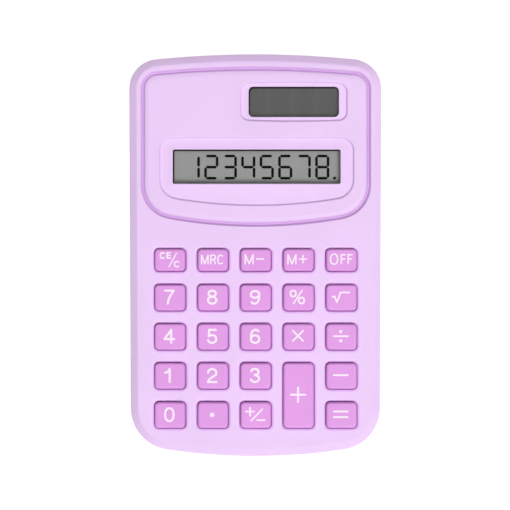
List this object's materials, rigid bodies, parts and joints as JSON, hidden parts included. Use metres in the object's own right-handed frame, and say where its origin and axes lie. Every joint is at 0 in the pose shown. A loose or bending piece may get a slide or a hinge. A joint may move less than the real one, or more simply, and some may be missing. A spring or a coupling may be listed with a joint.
{
  "type": "pocket calculator",
  "caption": "Slim handheld calculator with a segment display, a solar window and separately sprung keys, in a screwed plastic case.",
  "frame": {"origin": "middle of the case's outline, on the plane the back rests on", "axes": "+X to the right of a reader, +Y towards the display end, +Z out of the keypad"},
  "size_m": [0.0722, 0.115, 0.0102],
  "materials": {
    "housing_plastic": "satin moulded ABS, pale lilac",
    "key_plastic": "satin moulded ABS, orchid pink, white legends",
    "plated_steel": "zinc plated",
    "board_laminate": "paper-phenolic laminate",
    "carbon_ink": "printed carbon",
    "black_epoxy": "cast epoxy",
    "chip_ceramic": "ceramic",
    "chip_body": "ceramic with black glaze",
    "cell_can": "nickel-plated steel",
    "contact_metal": "tinned spring brass",
    "wire_red": "PVC insulation",
    "wire_black": "PVC insulation",
    "clear_window": "clear acrylic",
    "black_foam": "adhesive foam",
    "polarizer_film": "polarising film",
    "display_glass": "thin glass",
    "liquid_crystal": "dark state of the liquid crystal",
    "reflector_film": "matt silver-grey film",
    "grey_foam": "foam",
    "zebra_rubber": "layered silicone",
    "solar_layer": "amorphous silicon on glass",
    "silicone": "translucent silicone rubber",
    "carbon_rubber": "carbon-filled silicone"
  },
  "bodies": {
    "case": {"front_housing": "housing_plastic", "rear_housing": "housing_plastic", "battery_door": "housing_plastic", "door_screw": "plated_steel", "case_screws": "plated_steel", "pcb_screws": "plated_steel", "pcb": "board_laminate", "contact_pads": "carbon_ink", "cob_blob": "black_epoxy", "capacitor_chips": "chip_ceramic", "resistor_chip": "chip_body", "battery_cell": "cell_can", "battery_contact_positive": "contact_metal", "battery_contact_negative": "contact_metal", "battery_wire_positive": "wire_red", "battery_wire_negative": "wire_black", "solar_wire_positive": "wire_red", "solar_wire_negative": "wire_black", "display_lens": "clear_window", "display_gasket": "black_foam", "lcd_front_polarizer": "polarizer_film", "lcd_front_glass": "display_glass", "lcd_segments": "liquid_crystal", "lcd_rear_glass": "display_glass", "lcd_reflector": "reflector_film", "lcd_foam_pad": "grey_foam", "zebra_strip": "zebra_rubber", "solar_lens": "clear_window", "solar_gasket": "black_foam", "solar_cell": "solar_layer", "dome_sheet": "silicone", "carbon_pills": "carbon_rubber"},
    "key_clear_body": {"key_clear": "key_plastic"},
    "key_recall_body": {"key_recall": "key_plastic"},
    "key_memory_minus_body": {"key_memory_minus": "key_plastic"},
    "key_memory_plus_body": {"key_memory_plus": "key_plastic"},
    "key_off_body": {"key_off": "key_plastic"},
    "key_7_body": {"key_7": "key_plastic"},
    "key_8_body": {"key_8": "key_plastic"},
    "key_9_body": {"key_9": "key_plastic"},
    "key_percent_body": {"key_percent": "key_plastic"},
    "key_root_body": {"key_root": "key_plastic"},
    "key_4_body": {"key_4": "key_plastic"},
    "key_5_body": {"key_5": "key_plastic"},
    "key_6_body": {"key_6": "key_plastic"},
    "key_multiply_body": {"key_multiply": "key_plastic"},
    "key_divide_body": {"key_divide": "key_plastic"},
    "key_1_body": {"key_1": "key_plastic"},
    "key_2_body": {"key_2": "key_plastic"},
    "key_3_body": {"key_3": "key_plastic"},
    "key_plus_body": {"key_plus": "key_plastic"},
    "key_minus_body": {"key_minus": "key_plastic"},
    "key_0_body": {"key_0": "key_plastic"},
    "key_point_body": {"key_point": "key_plastic"},
    "key_sign_body": {"key_sign": "key_plastic"},
    "key_equals_body": {"key_equals": "key_plastic"}
  },
  "joints": [
    {"name": "key_clear_press", "type": "slide", "parent": "case", "child": "key_clear_body", "axis": [0, 0, -1], "range_m": [0, 0.0008], "stiffness_N_per_m": 500, "springref_m": -0.0003, "deforming": ["dome_sheet", "carbon_pills"]},
    {"name": "key_recall_press", "type": "slide", "parent": "case", "child": "key_recall_body", "axis": [0, 0, -1], "range_m": [0, 0.0008], "stiffness_N_per_m": 500, "springref_m": -0.0003, "deforming": ["dome_sheet", "carbon_pills"]},
    {"name": "key_memory_minus_press", "type": "slide", "parent": "case", "child": "key_memory_minus_body", "axis": [0, 0, -1], "range_m": [0, 0.0008], "stiffness_N_per_m": 500, "springref_m": -0.0003, "deforming": ["dome_sheet", "carbon_pills"]},
    {"name": "key_memory_plus_press", "type": "slide", "parent": "case", "child": "key_memory_plus_body", "axis": [0, 0, -1], "range_m": [0, 0.0008], "stiffness_N_per_m": 500, "springref_m": -0.0003, "deforming": ["dome_sheet", "carbon_pills"]},
    {"name": "key_off_press", "type": "slide", "parent": "case", "child": "key_off_body", "axis": [0, 0, -1], "range_m": [0, 0.0008], "stiffness_N_per_m": 500, "springref_m": -0.0003, "deforming": ["dome_sheet", "carbon_pills"]},
    {"name": "key_7_press", "type": "slide", "parent": "case", "child": "key_7_body", "axis": [0, 0, -1], "range_m": [0, 0.0008], "stiffness_N_per_m": 500, "springref_m": -0.0003, "deforming": ["dome_sheet", "carbon_pills"]},
    {"name": "key_8_press", "type": "slide", "parent": "case", "child": "key_8_body", "axis": [0, 0, -1], "range_m": [0, 0.0008], "stiffness_N_per_m": 500, "springref_m": -0.0003, "deforming": ["dome_sheet", "carbon_pills"]},
    {"name": "key_9_press", "type": "slide", "parent": "case", "child": "key_9_body", "axis": [0, 0, -1], "range_m": [0, 0.0008], "stiffness_N_per_m": 500, "springref_m": -0.0003, "deforming": ["dome_sheet", "carbon_pills"]},
    {"name": "key_percent_press", "type": "slide", "parent": "case", "child": "key_percent_body", "axis": [0, 0, -1], "range_m": [0, 0.0008], "stiffness_N_per_m": 500, "springref_m": -0.0003, "deforming": ["dome_sheet", "carbon_pills"]},
    {"name": "key_root_press", "type": "slide", "parent": "case", "child": "key_root_body", "axis": [0, 0, -1], "range_m": [0, 0.0008], "stiffness_N_per_m": 500, "springref_m": -0.0003, "deforming": ["dome_sheet", "carbon_pills"]},
    {"name": "key_4_press", "type": "slide", "parent": "case", "child": "key_4_body", "axis": [0, 0, -1], "range_m": [0, 0.0008], "stiffness_N_per_m": 500, "springref_m": -0.0003, "deforming": ["dome_sheet", "carbon_pills"]},
    {"name": "key_5_press", "type": "slide", "parent": "case", "child": "key_5_body", "axis": [0, 0, -1], "range_m": [0, 0.0008], "stiffness_N_per_m": 500, "springref_m": -0.0003, "deforming": ["dome_sheet", "carbon_pills"]},
    {"name": "key_6_press", "type": "slide", "parent": "case", "child": "key_6_body", "axis": [0, 0, -1], "range_m": [0, 0.0008], "stiffness_N_per_m": 500, "springref_m": -0.0003, "deforming": ["dome_sheet", "carbon_pills"]},
    {"name": "key_multiply_press", "type": "slide", "parent": "case", "child": "key_multiply_body", "axis": [0, 0, -1], "range_m": [0, 0.0008], "stiffness_N_per_m": 500, "springref_m": -0.0003, "deforming": ["dome_sheet", "carbon_pills"]},
    {"name": "key_divide_press", "type": "slide", "parent": "case", "child": "key_divide_body", "axis": [0, 0, -1], "range_m": [0, 0.0008], "stiffness_N_per_m": 500, "springref_m": -0.0003, "deforming": ["dome_sheet", "carbon_pills"]},
    {"name": "key_1_press", "type": "slide", "parent": "case", "child": "key_1_body", "axis": [0, 0, -1], "range_m": [0, 0.0008], "stiffness_N_per_m": 500, "springref_m": -0.0003, "deforming": ["dome_sheet", "carbon_pills"]},
    {"name": "key_2_press", "type": "slide", "parent": "case", "child": "key_2_body", "axis": [0, 0, -1], "range_m": [0, 0.0008], "stiffness_N_per_m": 500, "springref_m": -0.0003, "deforming": ["dome_sheet", "carbon_pills"]},
    {"name": "key_3_press", "type": "slide", "parent": "case", "child": "key_3_body", "axis": [0, 0, -1], "range_m": [0, 0.0008], "stiffness_N_per_m": 500, "springref_m": -0.0003, "deforming": ["dome_sheet", "carbon_pills"]},
    {"name": "key_plus_press", "type": "slide", "parent": "case", "child": "key_plus_body", "axis": [0, 0, -1], "range_m": [0, 0.0008], "stiffness_N_per_m": 500, "springref_m": -0.0003, "deforming": ["dome_sheet", "carbon_pills"]},
    {"name": "key_minus_press", "type": "slide", "parent": "case", "child": "key_minus_body", "axis": [0, 0, -1], "range_m": [0, 0.0008], "stiffness_N_per_m": 500, "springref_m": -0.0003, "deforming": ["dome_sheet", "carbon_pills"]},
    {"name": "key_0_press", "type": "slide", "parent": "case", "child": "key_0_body", "axis": [0, 0, -1], "range_m": [0, 0.0008], "stiffness_N_per_m": 500, "springref_m": -0.0003, "deforming": ["dome_sheet", "carbon_pills"]},
    {"name": "key_point_press", "type": "slide", "parent": "case", "child": "key_point_body", "axis": [0, 0, -1], "range_m": [0, 0.0008], "stiffness_N_per_m": 500, "springref_m": -0.0003, "deforming": ["dome_sheet", "carbon_pills"]},
    {"name": "key_sign_press", "type": "slide", "parent": "case", "child": "key_sign_body", "axis": [0, 0, -1], "range_m": [0, 0.0008], "stiffness_N_per_m": 500, "springref_m": -0.0003, "deforming": ["dome_sheet", "carbon_pills"]},
    {"name": "key_equals_press", "type": "slide", "parent": "case", "child": "key_equals_body", "axis": [0, 0, -1], "range_m": [0, 0.0008], "stiffness_N_per_m": 500, "springref_m": -0.0003, "deforming": ["dome_sheet", "carbon_pills"]}
  ]
}
